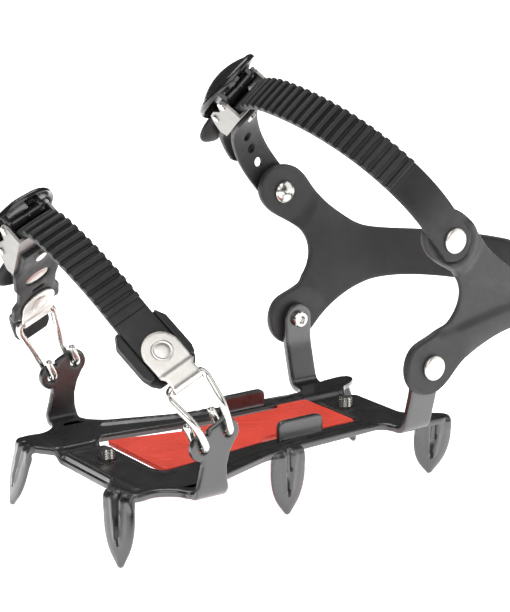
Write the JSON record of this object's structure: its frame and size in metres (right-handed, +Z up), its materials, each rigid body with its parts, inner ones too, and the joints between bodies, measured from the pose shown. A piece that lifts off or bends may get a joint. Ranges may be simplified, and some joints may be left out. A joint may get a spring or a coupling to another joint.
{
  "type": "strap-on crampon",
  "caption": "Strap-on crampon: two pointed steel side plates bolted together, anti-snow plate, wire-bailed front strap, heel harness and ankle strap with ratchet buckles.",
  "frame": {"origin": "on top of the anti-snow plate, on the mid line between the side plates, half way between the two width bolts", "axes": "+X toward the heel, +Y toward the outer side that carries the buckles, +Z up"},
  "size_m": [0.2505, 0.1415, 0.1809],
  "materials": {
    "frame_black": "gloss black",
    "steel_polished": "polished",
    "steel_satin": "satin",
    "rubber_black": "matte",
    "rubber_grey": "matte",
    "plastic_gloss": "gloss",
    "plastic_matte": "matte",
    "plate_red": "satin",
    "cord_red": "woven"
  },
  "bodies": {
    "frame": {"inner_side_plate": "frame_black", "outer_side_plate": "frame_black", "width_bolts": "steel_polished", "anti_snow_plate": "plate_red", "inner_harness_rivet": "steel_polished", "outer_harness_screw": "steel_polished"},
    "harness": {"heel_harness": "rubber_grey"},
    "ankle_loop": {"ankle_ladder_strap": "rubber_black", "ankle_buckle_strap": "rubber_grey", "ankle_rivets": "steel_polished", "ankle_buckle_base": "steel_satin", "ankle_buckle_pins": "steel_polished", "ankle_buckle_rivets": "steel_polished", "ankle_pawl_spring": "steel_polished"},
    "ankle_lever": {"ankle_buckle_lever": "plastic_gloss"},
    "ankle_pawl": {"ankle_holding_pawl": "plastic_matte"},
    "ankle_pull": {"ankle_pull_cord": "cord_red", "ankle_pull_tab": "rubber_black"},
    "inner_bail": {"inner_wire_bail": "steel_polished"},
    "outer_bail": {"outer_wire_bail": "steel_polished"},
    "front_loop": {"front_ladder_strap": "rubber_black", "inner_end_tongue": "steel_satin", "outer_end_tongue": "steel_satin", "end_rivets": "steel_polished", "inner_end_pad": "rubber_black", "outer_end_pad": "rubber_black", "front_buckle_base": "steel_satin", "front_buckle_pins": "steel_polished", "front_buckle_rivets": "steel_polished", "front_pawl_spring": "steel_polished"},
    "front_lever": {"front_buckle_lever": "plastic_gloss"},
    "front_pawl": {"front_holding_pawl": "plastic_matte"},
    "front_pull": {"front_pull_cord": "cord_red", "front_pull_tab": "rubber_black"}
  },
  "joints": [
    {"name": "harness_fold", "type": "hinge", "parent": "frame", "child": "harness", "pos_m": [0.06795, 0, 0.0288], "axis": [0, 1, 0], "range_deg": [-30, 45]},
    {"name": "ankle_loop_swing", "type": "hinge", "parent": "harness", "child": "ankle_loop", "pos_m": [0.06845, 0, 0.0858], "axis": [0, 1, 0], "range_deg": [-25, 30]},
    {"name": "ankle_lever_lift", "type": "hinge", "parent": "ankle_loop", "child": "ankle_lever", "pos_m": [0.02415, 0.02901, 0.14051], "axis": [0.7771, 0, 0.6293], "range_deg": [0, 50]},
    {"name": "ankle_pawl_release", "type": "hinge", "parent": "ankle_loop", "child": "ankle_pawl", "pos_m": [0.03028, 0.04237, 0.13294], "axis": [0.7771, 0, 0.6293], "range_deg": [-14, 0], "stiffness_Nm_per_rad": 0.02, "springref_deg": 3.44},
    {"name": "ankle_pull_swing", "type": "hinge", "parent": "ankle_lever", "child": "ankle_pull", "pos_m": [0.03368, 0.05565, 0.12873], "axis": [0.7771, 0, 0.6293], "range_deg": [-4, 30]},
    {"name": "inner_bail_sway", "type": "hinge", "parent": "frame", "child": "inner_bail", "pos_m": [-0.04825, -0.0585, 0.0214], "axis": [0.9135, 0, 0.4067], "range_deg": [-10, 10]},
    {"name": "front_loop_pivot", "type": "hinge", "parent": "inner_bail", "child": "front_loop", "pos_m": [-0.05944, -0.0551, 0.04652], "axis": [0.9135, 0, 0.4067], "range_deg": [-10, 10]},
    {"name": "outer_bail_sway", "type": "hinge", "parent": "frame", "child": "outer_bail", "pos_m": [-0.04825, 0.0585, 0.0214], "axis": [0.9135, 0, 0.4067], "range_deg": [-10, 10]},
    {"name": "front_lever_lift", "type": "hinge", "parent": "front_loop", "child": "front_lever", "pos_m": [-0.08286, 0.02446, 0.09913], "axis": [0.9135, 0, 0.4067], "range_deg": [0, 50]},
    {"name": "front_pawl_release", "type": "hinge", "parent": "front_loop", "child": "front_pawl", "pos_m": [-0.07792, 0.03568, 0.08804], "axis": [0.9135, 0, 0.4067], "range_deg": [-14, 0], "stiffness_Nm_per_rad": 0.02, "springref_deg": 3.44},
    {"name": "front_pull_swing", "type": "hinge", "parent": "front_lever", "child": "front_pull", "pos_m": [-0.07472, 0.04765, 0.08084], "axis": [0.9135, 0, 0.4067], "range_deg": [-4, 30]}
  ],
  "couplings": [
    {"joint": "front_loop_pivot", "follows": "inner_bail_sway", "ratio": -1},
    {"joint": "outer_bail_sway", "follows": "inner_bail_sway", "ratio": 1}
  ]
}
